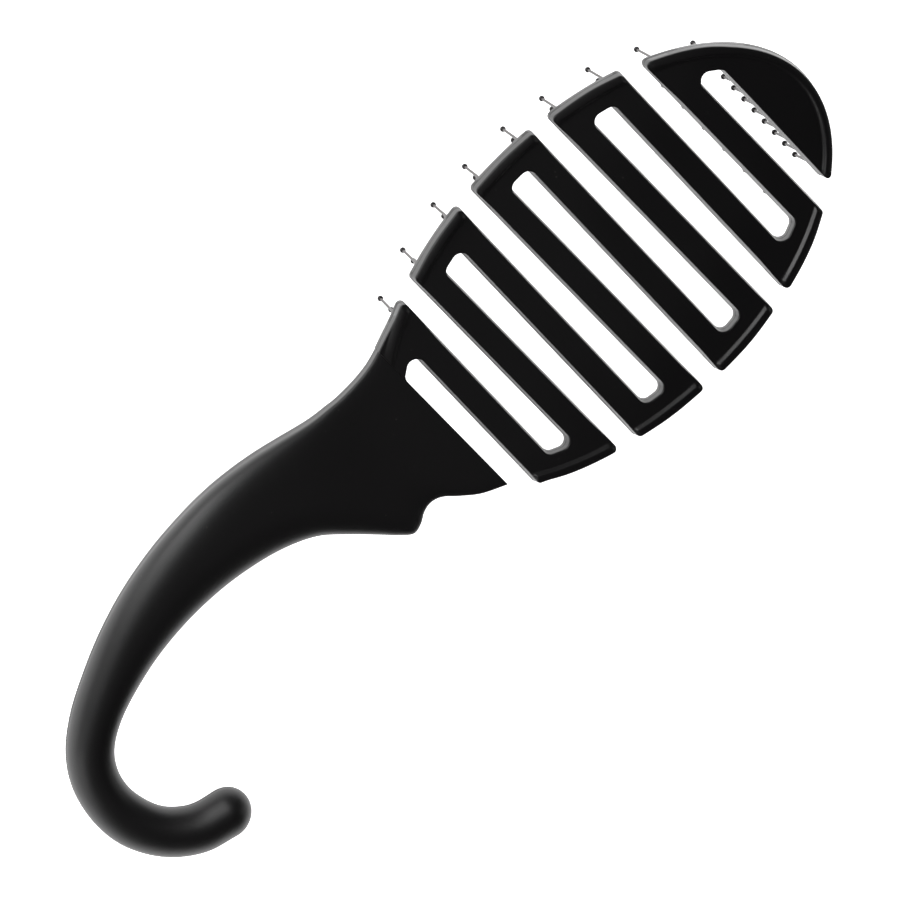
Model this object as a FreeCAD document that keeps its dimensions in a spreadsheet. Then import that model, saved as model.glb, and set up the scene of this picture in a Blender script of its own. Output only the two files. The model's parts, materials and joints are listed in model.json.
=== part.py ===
"""Hooked detangling brush with a flexible, vented zig-zag head.

The head is a flat, gently arched plate cut by nine slots that open at alternate sides, so
that one serpentine strip is left: eight cross bars and a tip, joined to the handle's root by
nine narrow webs.  The webs are the living hinges of the head.  Every segment is a back plate
and a pin plate, face to face, with ball-tipped pins standing on the pin plate.  The handle is
two half shells that meet on the same arched surface and runs into a hook.

Design frame: X along the head towards its tip, Y across it (the closed ends of the odd slots
are at +Y), Z out of the back.  The arch that parts back and pin side has its crest at the
origin.  At the end everything is moved so that the origin is the bottom centre of the brush.
"""
import FreeCAD, Part
import math
import os

DOC = FreeCAD.newDocument("hooked_brush")
V = FreeCAD.Vector
Z_AXIS = V(0, 0, 1)
Y_AXIS = V(0, 1, 0)
X_AXIS = V(1, 0, 0)

SIZES = {
    # head outline: two half ellipses that share their width
    "head_half_width": 38.4,
    "tip_reach": 64.9,
    "root_reach": 68.3,
    # serpentine
    "bar_pitch": 12.49,
    "bar_width": 7.2,
    "middle_gap_x": -1.9,
    "bar_lean": 0.4,
    "bar_skew": 1.0,
    "web_width": 6.3,
    "slot_round": 2.0,
    "corner_round": 1.3,
    # layers
    "arch_radius": 1150.0,
    "back_plate": 2.6,
    "pin_plate": 1.9,
    "rim_width": 3.1,
    "rim_rise": 0.6,
    # pins
    "pin_radius": 0.35,
    "pin_length": 17.4,
    "ball_radius": 0.75,
    "pin_step": 3.8,
    "pin_side_step": 1.3,
    "pin_inset": 1.6,
    "tip_pin_inset": 3.6,
    "root_row_step": 3.0,
    # handle
    "hook_end_radius": 6.3,
}
BARS = 8
SEGMENTS = BARS + 1          # the tip is the last segment
ROOT_ROWS = 2                # rows of pins behind the first slot
TOOL_REACH = 400.0           # length of cutting bodies, larger than the brush
DEEP = 60.0                  # height of the plan prisms
PARALLEL = 1e-6              # a cross product under this means parallel lines
OVERLAP = 0.1                # how far a web's plan starts inside its open slot
BEYOND = 1.5                 # how far slots are cut, as a share of the half width

# The neck's plan, both from the root towards the handle: the smooth side and the finger side
NECK_SMOOTH_SIDE = [(-60.3, 22.8), (-66.5, 22.2), (-78.0, 22.8), (-92.0, 25.6)]
NECK_FINGER_SIDE = [(-63.0, -17.2), (-69.0, -12.4), (-73.4, -12.6), (-76.6, -14.7),
                    (-79.6, -14.6), (-84.5, -11.0), (-93.5, -1.2)]
ROOT_POINT_BACK = 0.8        # the finger side starts this far behind the root's point
ROOT_POINT_IN = 0.5          # and this far inside the head's outline

# Handle stations from the root to the hook's end: x, y, half width, half thickness
HANDLE_STATIONS = [
    (-66.0, 3.0, 18.2, 2.4),
    (-78.0, 5.6, 17.4, 3.9),
    (-88.0, 8.6, 15.9, 5.0),
    (-98.0, 12.6, 14.2, 5.9),
    (-109.0, 15.6, 12.2, 6.4),
    (-121.5, 16.3, 10.2, 6.6),
    (-134.5, 14.7, 8.9, 6.6),
    (-146.5, 11.0, 7.8, 6.5),
    (-157.3, 6.6, 6.8, 6.2),
    (-165.8, 1.6, 6.3, 6.0),
    (-171.7, -4.7, 5.9, 5.9),
    (-174.9, -12.0, 5.9, 5.9),
    (-175.0, -20.0, 5.9, 5.9),
    (-172.0, -27.6, 6.0, 5.9),
    (-166.0, -33.4, 6.1, 6.0),
    (-156.2, -36.3, 6.3, 6.3),
]


def make_sheet():
    """Put every driving dimension in a spreadsheet, one alias for each."""
    sheet = DOC.addObject("Spreadsheet::Sheet", "Sizes")
    row = 1
    for name, value in SIZES.items():
        sheet.set("A%d" % row, name)
        sheet.set("B%d" % row, str(value))
        sheet.setAlias("B%d" % row, name)
        row += 1
    for number, station in enumerate(HANDLE_STATIONS):
        for word, value in zip(("along", "across", "half_width", "half_thick"), station):
            sheet.set("A%d" % row, "station_%s_%02d" % (word, number))
            sheet.set("B%d" % row, str(value))
            sheet.setAlias("B%d" % row, "station_%s_%02d" % (word, number))
            row += 1
    DOC.recompute()
    return sheet


SHEET = make_sheet()


def size(name):
    """Read one driving dimension back from the sheet."""
    return float(getattr(SHEET, name))


def bind(item, prop, text):
    """Bind a property to an expression on the sheet; @name stands for Sizes.name."""
    item.setExpression(prop, text.replace("@", "Sizes."))


def add(kind, name, **props):
    """Add a document object and set its plain properties."""
    item = DOC.addObject(kind, name)
    for prop, value in props.items():
        setattr(item, prop, value)
    return item


# --------------------------------------------------------------- plan geometry
def segment_centre(number):
    """X of a bar's middle; bars 1 to 8 from the root to the tip."""
    return size("middle_gap_x") + (number - (SEGMENTS / 2)) * size("bar_pitch")


def lean(number):
    """Bars lean by turns to either side of one common skew, in degrees about Z."""
    return size("bar_skew") + (-size("bar_lean") if number % 2 else size("bar_lean"))


def closed_side(gap):
    """+1 where a slot's closed end is at +Y, -1 where it is at -Y."""
    return 1 if gap % 2 else -1


def edge_x(number, side, y):
    """X of a segment's edge at height y; side -1 towards the root, +1 towards the tip."""
    turn = math.radians(lean(number))
    across = size("bar_width") / math.cos(turn)
    return segment_centre(number) + side * across / 2 - y * math.tan(turn)


def half_width_at(x):
    """Half width of the head at X: an ellipse on either side of X = 0."""
    reach = size("tip_reach") if x > 0 else size("root_reach")
    share = max(0.0, 1.0 - (x / reach) ** 2)
    return size("head_half_width") * math.sqrt(share)


def outline_slant(x):
    """How much longer than its width a web measures across the head, for the outline's slant."""
    return math.hypot(1, half_width_at(x + 0.5) - half_width_at(x - 0.5))


def arch_drop(x):
    """How far the arched surface lies under its crest at X."""
    radius = size("arch_radius")
    return radius - math.sqrt(radius ** 2 - x ** 2)


def rounded_prism(name, corners, rounds):
    """A tall prism on a polygon whose corners are rounded by the radii in rounds."""
    points = [V(x, y, -DEEP / 2) for x, y in corners]
    edges = []
    count = len(points)
    starts, ends = [], []
    for i in range(count):
        here, before, after = points[i], points[i - 1], points[(i + 1) % count]
        back = (before - here).normalize()
        forth = (after - here).normalize()
        half = back.getAngle(forth) / 2
        reach = rounds[i] / math.tan(half)
        starts.append(here + back * reach)
        ends.append(here + forth * reach)
        if rounds[i] > 0:
            axis = (back + forth).normalize()
            middle = here + axis * (rounds[i] / math.sin(half) - rounds[i])
            edges.append((i, Part.Arc(starts[i], middle, ends[i]).toShape()))
    arcs = dict(edges)
    path = []
    for i in range(count):
        if i in arcs:
            path.append(arcs[i])
        path.append(Part.LineSegment(ends[i], starts[(i + 1) % count]).toShape())
    prism = Part.Face(Part.Wire(path)).extrude(V(0, 0, DEEP))
    item = add("Part::Feature", name)
    item.Shape = prism
    return item


# --------------------------------------------------------------- shared tools
def make_arch(name, rise):
    """A cylinder along Y whose surface is the arch raised by an expression."""
    arch = add("Part::Cylinder", name, Height=TOOL_REACH)
    bind(arch, "Radius", "@arch_radius + (%s)" % rise)
    arch.Placement = FreeCAD.Placement(V(0, TOOL_REACH / 2, 0), FreeCAD.Rotation(X_AXIS, 90))
    bind(arch, "Placement.Base.z", "-@arch_radius")
    return arch


def make_layer(name, upper, lower):
    """What lies between two arched surfaces."""
    return add("Part::Cut", name, Base=upper, Tool=lower)


def make_head_prism(name, inset):
    """The head's outline as a tall prism, drawn in by an expression."""
    halves = []
    for word, reach in (("tip", "tip_reach"), ("root", "root_reach")):
        curve = add("Part::Ellipse", "%s_%s_curve" % (name, word))
        longer = "@%s - (%s)" % (reach, inset)
        bind(curve, "MajorRadius", longer)
        bind(curve, "MinorRadius", "@head_half_width - (%s)" % inset)
        curve.Placement.Base.z = -DEEP / 2
        full = add("Part::Extrusion", "%s_%s_full" % (name, word), Base=curve,
                   Dir=Z_AXIS, DirMode="Custom", LengthFwd=DEEP, Solid=True)
        side = add("Part::Box", "%s_%s_side" % (name, word), Length=TOOL_REACH,
                   Width=TOOL_REACH, Height=TOOL_REACH)
        start = 0 if word == "tip" else -TOOL_REACH
        side.Placement.Base = V(start, -TOOL_REACH / 2, -TOOL_REACH / 2)
        halves.append(add("Part::Common", "%s_%s" % (name, word), Base=full, Tool=side))
    return add("Part::Fuse", name, Base=halves[0], Tool=halves[1], Refine=True)


ARCH_MID = make_arch("arch_mid", "0")
ARCH_TOP = make_arch("arch_top", "@back_plate")
ARCH_RIM = make_arch("arch_rim", "@back_plate + @rim_rise")
ARCH_LOW = make_arch("arch_low", "-@pin_plate")
BACK_LAYER = make_layer("back_layer", ARCH_TOP, ARCH_MID)
RIM_LAYER = make_layer("rim_layer", ARCH_RIM, ARCH_MID)
PIN_LAYER = make_layer("pin_layer", ARCH_MID, ARCH_LOW)
BOTH_LAYERS = make_layer("both_layers", ARCH_TOP, ARCH_LOW)
RIM_BOTH = make_layer("rim_both_layers", ARCH_RIM, ARCH_LOW)
HEAD = make_head_prism("head_prism", "0")
HEAD_FIELD = make_head_prism("head_field", "@rim_width")
RIM_RING = add("Part::Cut", "rim_ring", Base=HEAD, Tool=HEAD_FIELD)


def make_strip(number):
    """The plan of one bar: a tall box as wide as the bar, leaning as the bar does."""
    strip = add("Part::Box", "strip_%d" % number, Width=TOOL_REACH, Height=DEEP)
    bind(strip, "Length", "@bar_width")
    turn = FreeCAD.Rotation(Z_AXIS, lean(number))
    low_corner = turn.multVec(V(-size("bar_width") / 2, -TOOL_REACH / 2, -DEEP / 2))
    strip.Placement = FreeCAD.Placement(V(segment_centre(number), 0, 0) + low_corner, turn)
    return strip


def make_tip_strip():
    """The plan of the tip: everything beyond the last slot."""
    strip = add("Part::Box", "strip_tip", Length=TOOL_REACH, Width=TOOL_REACH, Height=DEEP)
    turn = FreeCAD.Rotation(Z_AXIS, lean(SEGMENTS))
    low_corner = turn.multVec(V(-size("bar_width") / 2, -TOOL_REACH / 2, -DEEP / 2))
    strip.Placement = FreeCAD.Placement(V(segment_centre(SEGMENTS), 0, 0) + low_corner, turn)
    return strip


def free_corners(number):
    """Plan places of a segment's corners that no web holds."""
    sides = [(-1, -closed_side(number))]
    if number < SEGMENTS:
        sides.append((1, -closed_side(number + 1)))
    corners = []
    for side, end in sides:
        y = end * half_width_at(edge_x(number, side, 0))
        y = end * half_width_at(edge_x(number, side, y))
        corners.append((edge_x(number, side, y), y))
    return corners


def round_edges(name, base, corners, radius):
    """Round the upright edges of a prism that stand nearest to the plan places."""
    DOC.recompute()
    picked = []
    for x, y in corners:
        found = []
        for index, edge in enumerate(base.Shape.Edges, 1):
            ends = [vertex.Point for vertex in edge.Vertexes]
            upright = len(ends) == 2 and (ends[0] - ends[1]).cross(Z_AXIS).Length < PARALLEL
            if upright:
                found.append((math.hypot(ends[0].x - x, ends[0].y - y), index))
        picked.append(min(found)[1])
    fillet = add("Part::Fillet", name, Base=base)
    fillet.Edges = [(index, radius, radius) for index in picked]
    return fillet


def name_part(item, label, bodies):
    """Give a finished sub-part its label and keep it for the export."""
    item.Label = label
    bodies[label] = item
    return item


PARTS = {}


def make_segment(number, word):
    """Back plate with its rim, and pin plate, of one bar or of the tip."""
    strip = make_tip_strip() if number == SEGMENTS else make_strip(number)
    plain = add("Part::Common", "plan_%s" % word, Base=HEAD, Tool=strip)
    plan = round_edges("rounded_%s" % word, plain, free_corners(number), size("corner_round"))
    field = add("Part::Common", "field_%s" % word, Base=plan, Tool=BACK_LAYER)
    ring = add("Part::Common", "ring_%s" % word, Base=plan, Tool=RIM_RING)
    rim = add("Part::Common", "rim_%s" % word, Base=ring, Tool=RIM_LAYER)
    back = add("Part::Fuse", "back_%s" % word, Base=field, Tool=rim, Refine=True)
    plate = add("Part::Common", "pinside_%s" % word, Base=plan, Tool=PIN_LAYER)
    name_part(back, "back_plate_%s" % word, PARTS)
    name_part(plate, "pin_plate_%s" % word, PARTS)
    return strip


def slot_corners(gap):
    """Corners of one slot, from its open end round its closed end."""
    end = closed_side(gap)
    far = -end * size("head_half_width") * BEYOND
    corners = []
    for bar, side in ((gap - 1, 1), (gap, -1)):
        x = edge_x(bar, side, 0)
        y = end * (half_width_at(x) - size("web_width") * outline_slant(x))
        x = edge_x(bar, side, y)
        y = end * (half_width_at(x) - size("web_width") * outline_slant(x))
        corners.append((edge_x(bar, side, y), y))
    first = (edge_x(gap - 1, 1, far), far)
    last = (edge_x(gap, -1, far), far)
    return [first] + corners + [last]


def make_web(gap):
    """One living hinge: what the slot leaves of the head between two segments."""
    rounds = [0, size("slot_round"), size("slot_round"), 0]
    slot = rounded_prism("slot_%d" % gap, slot_corners(gap), rounds)
    far = closed_side(gap) * size("head_half_width") * BEYOND
    near = -closed_side(gap) * OVERLAP
    side_lines = [(edge_x(gap - 1, 1, near), near), (edge_x(gap - 1, 1, far), far),
                  (edge_x(gap, -1, far), far), (edge_x(gap, -1, near), near)]
    strip = rounded_prism("gap_strip_%d" % gap, side_lines, [0, 0, 0, 0])
    whole = add("Part::Common", "web_strip_%d" % gap, Base=HEAD, Tool=strip)
    open_plan = add("Part::Cut", "web_plan_%d" % gap, Base=whole, Tool=slot)
    field = add("Part::Common", "web_field_%d" % gap, Base=open_plan, Tool=BOTH_LAYERS)
    ring = add("Part::Common", "web_ring_%d" % gap, Base=open_plan, Tool=RIM_RING)
    rim = add("Part::Common", "web_rim_%d" % gap, Base=ring, Tool=RIM_BOTH)
    web = add("Part::Fuse", "flex_web_solid_%d" % gap, Base=field, Tool=rim, Refine=True)
    name_part(web, "flex_web_%d" % gap, PARTS)


# --------------------------------------------------------------- pins
def pin_places(number):
    """Plan places of one bar's pins, about a pin step apart and stepping from side to side.

    The two pins nearest to each end stand on the bar's middle line.
    """
    middle = segment_centre(number)
    reach = half_width_at(middle) - size("pin_inset")
    steps = round(2 * reach / size("pin_step"))
    places = []
    for index in range(steps + 1):
        y = reach - index * 2 * reach / steps
        at_end = index < 2 or index > steps - 2
        across = 0 if at_end else size("pin_side_step") * (-1) ** index
        shift = -y * math.tan(math.radians(lean(number)))
        places.append((middle + across + shift, y))
    return places


def tip_pin_places():
    """Plan places of the tip's pins: rows that shorten towards the point of the head."""
    start = segment_centre(SEGMENTS) - size("bar_width") / 2 + size("pin_inset")
    row_step = size("pin_step") * math.sqrt(3) / 2
    places = []
    row = 0
    while start + row * row_step < size("tip_reach") - size("tip_pin_inset"):
        x = start + row * row_step
        reach = half_width_at(x) - size("tip_pin_inset")
        count = int(2 * reach / size("pin_step"))
        count -= (count + row) % 2
        for index in range(count + 1):
            places.append((x, (index - count / 2) * size("pin_step")))
        row += 1
    return places


def root_pin_places():
    """Plan places of the root's pins: rows behind the first slot, each a pin shorter."""
    places = []
    start = edge_x(0, 1, 0) - size("pin_inset")
    for row in range(ROOT_ROWS):
        x = start - row * size("root_row_step")
        reach = half_width_at(start - ROOT_ROWS * size("root_row_step")) - size("pin_inset")
        count = int(2 * reach / size("pin_step")) - row
        for index in range(count + 1):
            places.append((x, (index - count / 2) * size("pin_step")))
    return places


def arch_placement(x, y, rise):
    """Placement of something that stands on the arch, square to it, raised by rise."""
    radius = size("arch_radius") + rise
    turn = math.asin(x / size("arch_radius"))
    centre = V(0, y, -size("arch_radius"))
    out = V(math.sin(turn), 0, math.cos(turn))
    return FreeCAD.Placement(centre + out * radius, FreeCAD.Rotation(Y_AXIS, math.degrees(turn)))


def make_pins(word, places):
    """One segment's pins and their ball tips, as two groups."""
    shafts = []
    balls = []
    foot = -size("pin_plate")
    seat = math.sqrt(size("ball_radius") ** 2 - size("pin_radius") ** 2)
    for index, (x, y) in enumerate(places):
        shaft = add("Part::Cylinder", "shaft_%s_%d" % (word, index))
        bind(shaft, "Radius", "@pin_radius")
        bind(shaft, "Height", "@pin_length")
        shaft.Placement = arch_placement(x, y, foot - size("pin_length"))
        shafts.append(shaft)
        ball = add("Part::Sphere", "ball_%s_%d" % (word, index))
        bind(ball, "Radius", "@ball_radius")
        bind(ball, "Angle2", "acos(@pin_radius / @ball_radius)")
        ball.Placement = arch_placement(x, y, foot - size("pin_length") - seat)
        balls.append(ball)
    shaft_group = add("Part::Compound", "pin_group_%s" % word, Links=shafts)
    ball_group = add("Part::Compound", "ball_group_%s" % word, Links=balls)
    name_part(shaft_group, "pins_%s" % word, PARTS)
    name_part(ball_group, "ball_tips_%s" % word, PARTS)


# --------------------------------------------------------------- handle
def handle_spots():
    """The handle's middle points and the direction in which it runs at each."""
    middle = (size("back_plate") - size("pin_plate")) / 2
    spots = []
    for number in range(len(HANDLE_STATIONS)):
        x = size("station_along_%02d" % number)
        y = size("station_across_%02d" % number)
        spots.append(V(x, y, middle - arch_drop(x)))
    runs = []
    last = len(spots) - 1
    for number in range(last + 1):
        ahead = spots[min(number + 1, last)]
        behind = spots[max(number - 1, 0)]
        runs.append((ahead - behind).normalize())
    return spots, runs


def make_oval(number, spot, along):
    """One cross-section of the handle, upright and square to the handle's run."""
    across = Z_AXIS.cross(along).normalize()
    wide = size("station_half_width_%02d" % number)
    thick = min(wide, size("station_half_thick_%02d" % number))
    curve = Part.Ellipse(V(0, 0, 0), wide, thick)
    halves = [curve.toShape(0, math.pi), curve.toShape(math.pi, 2 * math.pi)]
    oval = add("Part::Feature", "oval_%02d" % number)
    oval.Shape = Part.Wire(halves)
    turn = FreeCAD.Rotation(across, along.cross(across), along, "XYZ")
    oval.Placement = FreeCAD.Placement(spot, turn)
    return oval


def make_handle_body():
    """The handle's whole round body: ovals joined pair by pair, and a ball at the end."""
    spots, runs = handle_spots()
    ovals = [make_oval(number, spots[number], runs[number]) for number in range(len(spots))]
    ball = add("Part::Sphere", "hook_end")
    bind(ball, "Radius", "@hook_end_radius")
    ball.Placement.Base = spots[-1]
    pieces = [ball]
    for number, pair in enumerate(zip(ovals, ovals[1:])):
        pieces.append(add("Part::Loft", "handle_run_%02d" % number, Solid=True, Ruled=True,
                          Sections=list(pair)))
    return add("Part::MultiFuse", "handle_round", Shapes=pieces, Refine=True)


def make_root_prism():
    """The root's plan, from the first slot down the neck to the finger notch and the grip."""
    end_x = edge_x(0, 1, 0)
    top_y = half_width_at(end_x)
    top = (edge_x(0, 1, top_y), half_width_at(edge_x(0, 1, top_y)))
    point_y = -half_width_at(end_x) + 2 * ROOT_POINT_IN
    point = (edge_x(0, 1, point_y), point_y)
    start_x = end_x - ROOT_POINT_BACK
    start = (start_x, -half_width_at(start_x) + ROOT_POINT_IN)
    sides = []
    for plan in ([top] + NECK_SMOOTH_SIDE, [start] + NECK_FINGER_SIDE):
        curve = Part.BSplineCurve()
        curve.interpolate([V(x, y, -DEEP / 2) for x, y in plan])
        sides.append(curve)
    smooth, finger = sides
    corner = V(point[0], point[1], -DEEP / 2)
    lines = [Part.LineSegment(smooth.EndPoint, finger.EndPoint),
             Part.LineSegment(finger.StartPoint, corner), Part.LineSegment(corner, smooth.StartPoint)]
    finger.reverse()
    edges = [smooth, lines[0], finger, lines[1], lines[2]]
    item = add("Part::Feature", "root_plan")
    item.Shape = Part.Face(Part.Wire([edge.toShape() for edge in edges])).extrude(V(0, 0, DEEP))
    return item


def make_handle():
    """The handle's back shell and pin-side shell, each with its part of the root plate."""
    body = make_handle_body()
    plan = make_root_prism()
    root_back = add("Part::Common", "root_back", Base=plan, Tool=BACK_LAYER)
    root_low = add("Part::Common", "root_low", Base=plan, Tool=PIN_LAYER)
    grip_back = add("Part::Cut", "grip_back", Base=body, Tool=ARCH_MID)
    grip_low = add("Part::Common", "grip_low", Base=body, Tool=ARCH_MID)
    back = add("Part::Fuse", "handle_back", Base=grip_back, Tool=root_back, Refine=True)
    low = add("Part::Fuse", "handle_low", Base=grip_low, Tool=root_low, Refine=True)
    name_part(back, "handle_back_shell", PARTS)
    name_part(low, "handle_pin_side_shell", PARTS)


def build():
    """Make every sub-part."""
    make_handle()
    for number in range(1, SEGMENTS + 1):
        word = "tip" if number == SEGMENTS else str(number)
        make_segment(number, word)
        make_web(number)
        places = tip_pin_places() if number == SEGMENTS else pin_places(number)
        make_pins(word, places)
    make_pins("root", root_pin_places())
    DOC.recompute()


def settle_frame():
    """Move every finished sub-part so that the origin is the brush's bottom centre."""
    box = FreeCAD.BoundBox()
    for item in PARTS.values():
        box.add(item.Shape.optimalBoundingBox(False, False))
    shift = V(-box.Center.x, -box.Center.y, -box.ZMin)
    for item in PARTS.values():
        item.Placement = FreeCAD.Placement(shift, FreeCAD.Rotation()).multiply(item.Placement)
    DOC.recompute()
    return shift


def check():
    """Refuse a model with a failed object or a broken solid."""
    for item in DOC.Objects:
        if "Invalid" in item.State or "Error" in item.State:
            raise RuntimeError("failed: %s" % item.Name)
    for label, item in PARTS.items():
        if item.Shape.isNull() or not item.Shape.isValid() or not item.Shape.Solids:
            raise RuntimeError("bad shape: %s" % label)


def export():
    """Write one STEP file for each sub-part."""
    os.makedirs("parts", exist_ok=True)
    for label, item in PARTS.items():
        item.Shape.exportStep("parts/%s.step" % label)


build()
SHIFT = settle_frame()
check()
export()
print("sub-parts:", len(PARTS), "shift:", [round(c, 4) for c in SHIFT])
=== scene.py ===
"""Hooked detangling brush: the finished look of the arched, slotted head, handle and pins.

The head is one serpentine strip.  It is built here in lengths that each run from the middle
of one bar, through the web at its end, to the middle of the next bar, so that no joint line
shows between the bars.  Sizes are in metres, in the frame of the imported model.
"""
import json
import logging
import math
from dataclasses import dataclass
from enum import Enum

import bpy
import numpy as np
from mathutils import Matrix, Vector


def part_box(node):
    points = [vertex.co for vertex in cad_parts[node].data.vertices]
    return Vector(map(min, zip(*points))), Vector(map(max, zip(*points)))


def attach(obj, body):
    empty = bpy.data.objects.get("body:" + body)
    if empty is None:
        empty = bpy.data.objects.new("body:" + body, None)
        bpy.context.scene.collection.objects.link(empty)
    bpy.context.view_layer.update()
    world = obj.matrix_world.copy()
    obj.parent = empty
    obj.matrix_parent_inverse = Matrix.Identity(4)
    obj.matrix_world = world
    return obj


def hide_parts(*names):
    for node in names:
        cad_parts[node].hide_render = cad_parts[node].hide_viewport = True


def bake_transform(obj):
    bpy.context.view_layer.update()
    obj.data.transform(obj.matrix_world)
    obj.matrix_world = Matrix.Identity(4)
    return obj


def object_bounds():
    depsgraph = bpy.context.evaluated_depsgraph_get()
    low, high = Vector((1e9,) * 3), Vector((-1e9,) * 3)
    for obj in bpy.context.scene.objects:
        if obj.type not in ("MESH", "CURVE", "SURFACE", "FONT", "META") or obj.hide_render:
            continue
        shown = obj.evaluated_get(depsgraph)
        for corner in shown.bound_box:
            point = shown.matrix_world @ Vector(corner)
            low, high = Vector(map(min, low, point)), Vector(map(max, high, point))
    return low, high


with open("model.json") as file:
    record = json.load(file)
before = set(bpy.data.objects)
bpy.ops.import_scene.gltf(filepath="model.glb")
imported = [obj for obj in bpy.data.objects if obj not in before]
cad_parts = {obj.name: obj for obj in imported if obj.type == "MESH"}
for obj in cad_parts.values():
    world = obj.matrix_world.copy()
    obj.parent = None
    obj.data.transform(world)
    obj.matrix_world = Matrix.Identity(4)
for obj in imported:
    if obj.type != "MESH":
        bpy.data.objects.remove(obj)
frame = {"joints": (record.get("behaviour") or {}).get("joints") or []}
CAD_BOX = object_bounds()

LOG = logging.getLogger("brush")
MM = 0.001
BARS = 8
Array = np.ndarray
Item = bpy.types.Object
Socket = bpy.types.NodeSocket
Tree = bpy.types.NodeTree


# ------------------------------------------------------------------ small array tools
def smooth_step(value: Array, low: float, high: float) -> Array:
    """Rise smoothly from 0 at low to 1 at high: 3t^2 - 2t^3 of the clipped share t.

    Args:
        value: the numbers to map.
        low: where the rise starts.
        high: where the rise ends.

    Returns:
        The mapped numbers, of the same shape.
    """
    share = np.clip((value - low) / (high - low), 0.0, 1.0)
    return share * share * (3.0 - 2.0 * share)


def lengths_along(path: Array) -> Array:
    """Distance of each point of a path from its start.

    Args:
        path: points, one a row.

    Returns:
        Running length, one a point.
    """
    steps = np.linalg.norm(np.diff(path, axis=0), axis=1)
    return np.concatenate([[0.0], np.cumsum(steps)])


def resample(path: Array, count: int, start: float = 0.0, stop: float | None = None) -> Array:
    """Points evenly spaced by length along part of a path.

    Args:
        path: points, one a row.
        count: how many points to give.
        start: length at which to begin.
        stop: length at which to end, or None for the path's end.

    Returns:
        The new points, one a row.
    """
    run = lengths_along(path)
    at = np.linspace(start, run[-1] if stop is None else stop, count)
    return np.stack([np.interp(at, run, path[:, axis]) for axis in range(path.shape[1])], axis=1)


def curve_through(points: Array, at: Array) -> Array:
    """A smooth curve through points: on each span the cubic Hermite blend of its two ends.

    The slope at a point is half the difference of its two neighbours.

    Args:
        points: points, one a row, at the parameters 0, 1, 2 and so on.
        at: parameters at which the curve is wanted.

    Returns:
        One row for each parameter.
    """
    slopes = np.gradient(points, axis=0)
    span = np.clip(np.floor(at).astype(int), 0, len(points) - 2)
    share = (at - span)[:, None]
    start, end = points[span], points[span + 1]
    square, cube = share ** 2, share ** 3
    return (
        (2 * cube - 3 * square + 1) * start
        + (cube - 2 * square + share) * slopes[span]
        + (3 * square - 2 * cube) * end
        + (cube - square) * slopes[span + 1]
    )


def rounded_corner(before: Array, corner: Array, after: Array, radius: float, count: int) -> Array:
    """The arc that rounds a corner, tangent to both of its sides.

    Args:
        before: a point on the side that comes in.
        corner: the sharp corner.
        after: a point on the side that goes out.
        radius: the arc's radius.
        count: how many points to give.

    Returns:
        Points of the arc, from the incoming side to the outgoing one.
    """
    back = (before - corner) / np.linalg.norm(before - corner)
    forth = (after - corner) / np.linalg.norm(after - corner)
    half = 0.5 * math.acos(float(np.clip(back @ forth, -1.0, 1.0)))
    centre = corner + (back + forth) / np.linalg.norm(back + forth) * radius / math.sin(half)
    first = corner + back * radius / math.tan(half) - centre
    last = corner + forth * radius / math.tan(half) - centre
    sweep = math.pi - 2.0 * half
    share = np.linspace(0.0, 1.0, count)[:, None]
    turned = np.sin((1 - share) * sweep) * first + np.sin(share * sweep) * last
    return centre + turned / math.sin(sweep)


# ------------------------------------------------------------------ meshes
def make_object(
    name: str, points: Array, faces: list, sharp_degrees: float = 34.0
) -> Item:
    """Put points and faces in a new object, facing outwards, smooth but for its sharp edges.

    Args:
        name: the object's name.
        points: vertex places, one a row.
        faces: vertex numbers of each face.
        sharp_degrees: an edge that turns more than this stays sharp.

    Returns:
        The new object, in the scene.
    """
    mesh = bpy.data.meshes.new(name)
    mesh.from_pydata(points.tolist(), [], faces)
    mesh.validate()
    mesh.polygons.foreach_set("use_smooth", np.ones(len(mesh.polygons), dtype=bool))
    mesh.set_sharp_from_angle(angle=math.radians(sharp_degrees))
    mesh.update()
    item = bpy.data.objects.new(name, mesh)
    bpy.context.scene.collection.objects.link(item)
    return item


def tube_faces(rings: int, around: int, offset: int = 0, flip: bool = False) -> list:
    """Faces of a closed tube of rings, with an end face at each end.

    Args:
        rings: how many rings of points.
        around: points in one ring.
        offset: number of the first point.
        flip: turn every face over.

    Returns:
        Lists of vertex numbers.
    """
    ring, spot = np.meshgrid(np.arange(rings - 1), np.arange(around), indexing="ij")
    ahead = (spot + 1) % around
    quads = np.stack([ring * around + spot, ring * around + ahead,
                      (ring + 1) * around + ahead, (ring + 1) * around + spot], axis=-1)
    quads = quads.reshape(-1, 4) + offset
    first = np.arange(around)[::-1] + offset
    last = np.arange(around) + (rings - 1) * around + offset
    if flip:
        quads, first, last = quads[:, ::-1], first[::-1], last[::-1]
    return quads.tolist() + [first.tolist(), last.tolist()]


def signed_volume(rings: Array) -> float:
    """Six times the volume that a tube of rings holds, positive if its faces point outwards.

    Args:
        rings: points, as (ring, place round it, 3).

    Returns:
        The sum over the quads of the triple products of their corners.
    """
    mean = rings.reshape(-1, 3).mean(axis=0)
    here = rings[:-1] - mean
    ahead = np.roll(here, -1, axis=1)
    above = rings[1:] - mean
    above_ahead = np.roll(above, -1, axis=1)
    one = np.einsum("ijk,ijk->", here, np.cross(ahead, above_ahead))
    two = np.einsum("ijk,ijk->", here, np.cross(above_ahead, above))
    return float(one + two)


def tube_object(name: str, rings: Array) -> Item:
    """A closed tube through rings of points.

    Args:
        name: the object's name.
        rings: points, as (ring, place round it, 3).

    Returns:
        The new object.
    """
    flip = signed_volume(rings) < 0
    faces = tube_faces(rings.shape[0], rings.shape[1], flip=flip)
    return make_object(name, rings.reshape(-1, 3), faces)


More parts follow.
